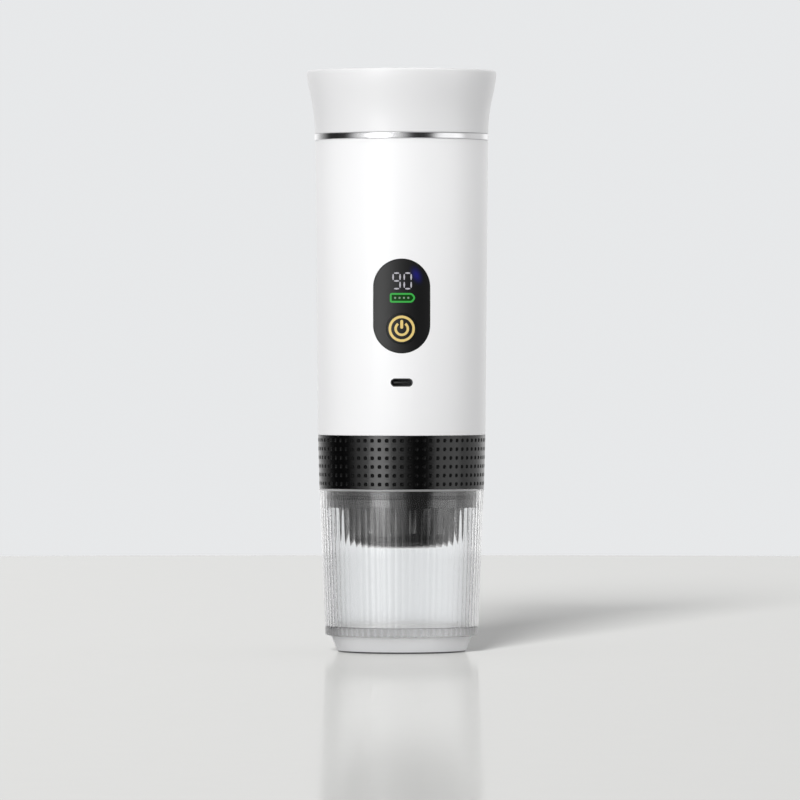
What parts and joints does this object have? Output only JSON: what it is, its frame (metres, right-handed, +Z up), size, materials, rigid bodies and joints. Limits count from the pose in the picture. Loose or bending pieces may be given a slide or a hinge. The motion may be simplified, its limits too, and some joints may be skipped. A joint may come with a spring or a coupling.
{
  "type": "portable espresso maker",
  "caption": "Cylindrical battery-powered espresso maker with a flared lid, heated water tank, vibration pump, twist-in filter holder and a clear fluted cup that it stands on.",
  "frame": {"origin": "centre of the cup's foot, on the table", "axes": "+Z up along the machine's axis, -Y towards the display panel, +X to the right of someone who faces the panel"},
  "size_m": [0.0782, 0.0782, 0.24],
  "materials": {
    "white_plastic": "gloss",
    "black_gloss": "gloss",
    "dark_plastic": "satin",
    "black_plastic": "satin",
    "ivory_plastic": "satin",
    "black_rubber": "matte",
    "red_silicone": "matte",
    "hose_silicone": "matte",
    "clear_cup": "fluted, lightly frosted",
    "chrome": "polished",
    "gold": "satin",
    "steel": "brushed",
    "copper": "enamelled wire",
    "board": "solder mask",
    "cell_sleeve": "shrink sleeve",
    "heater_film": "film",
    "insulation": "felt"
  },
  "bodies": {
    "cup": {"cup": "clear_cup"},
    "machine": {"group_housing": "dark_plastic", "cup_seal": "black_rubber", "grip_band": "black_rubber", "shower_screen": "steel", "shower_screw": "steel", "group_gasket": "black_rubber", "outer_shell": "white_plastic", "display_panel": "black_gloss", "usb_socket": "steel", "main_board": "board", "board_screws": "steel", "display_module": "black_plastic", "tact_switch": "black_plastic", "chassis": "black_plastic", "chassis_screws": "steel", "battery_cells": "cell_sleeve", "cell_cradle": "black_plastic", "cell_tabs": "steel", "pump_mount": "black_rubber", "pump_body": "ivory_plastic", "pump_coil": "copper", "pump_yoke": "steel", "plunger_spring": "steel", "valve_spring": "steel", "inlet_hose": "hose_silicone", "outlet_hose": "hose_silicone", "water_tank": "steel", "tank_gasket": "black_rubber", "heater_band": "heater_film", "tank_insulator": "insulation", "temp_sensor": "black_plastic", "trim_ring": "chrome"},
    "seal_ring": {"lid_seal": "black_rubber"},
    "lid": {"lid_shell": "white_plastic", "lid_plug": "white_plastic", "vent_valve": "red_silicone"},
    "basket": {"filter_basket": "steel", "basket_screen": "steel"},
    "holder": {"filter_holder": "dark_plastic"},
    "key": {"power_button": "black_gloss", "button_ring": "gold"},
    "plunger": {"plunger": "steel"},
    "outlet_valve": {"outlet_valve": "red_silicone"}
  },
  "joints": [
    {"name": "machine_lift", "type": "slide", "parent": "cup", "child": "machine", "axis": [0, 0, 1], "range_m": [0, 0.09]},
    {"name": "lid_lift", "type": "slide", "parent": "machine", "child": "seal_ring", "axis": [0, 0, 1], "range_m": [0, 0.05]},
    {"name": "lid_turn", "type": "hinge", "parent": "seal_ring", "child": "lid", "pos_m": [0, 0, 0.2138], "axis": [0, 0, 1], "range_deg": [0, 90]},
    {"name": "holder_drop", "type": "slide", "parent": "machine", "child": "basket", "axis": [0, 0, -1], "range_m": [0, 0.03]},
    {"name": "holder_turn", "type": "hinge", "parent": "basket", "child": "holder", "pos_m": [0, 0, 0.06], "axis": [0, 0, 1], "range_deg": [0, 60]},
    {"name": "key_press", "type": "slide", "parent": "machine", "child": "key", "axis": [0, 1, 0], "range_m": [0, 0.0005], "stiffness_N_per_m": 2000, "springref_m": -0.0002},
    {"name": "plunger_stroke", "type": "slide", "parent": "machine", "child": "plunger", "axis": [0, 0, -1], "range_m": [0, 0.0035], "stiffness_N_per_m": 500, "springref_m": -0.0006, "deforming": ["plunger_spring"]},
    {"name": "valve_open", "type": "slide", "parent": "machine", "child": "outlet_valve", "axis": [0, 0, -1], "range_m": [0, 0.0012], "stiffness_N_per_m": 300, "springref_m": -0.0005, "deforming": ["valve_spring"]}
  ]
}
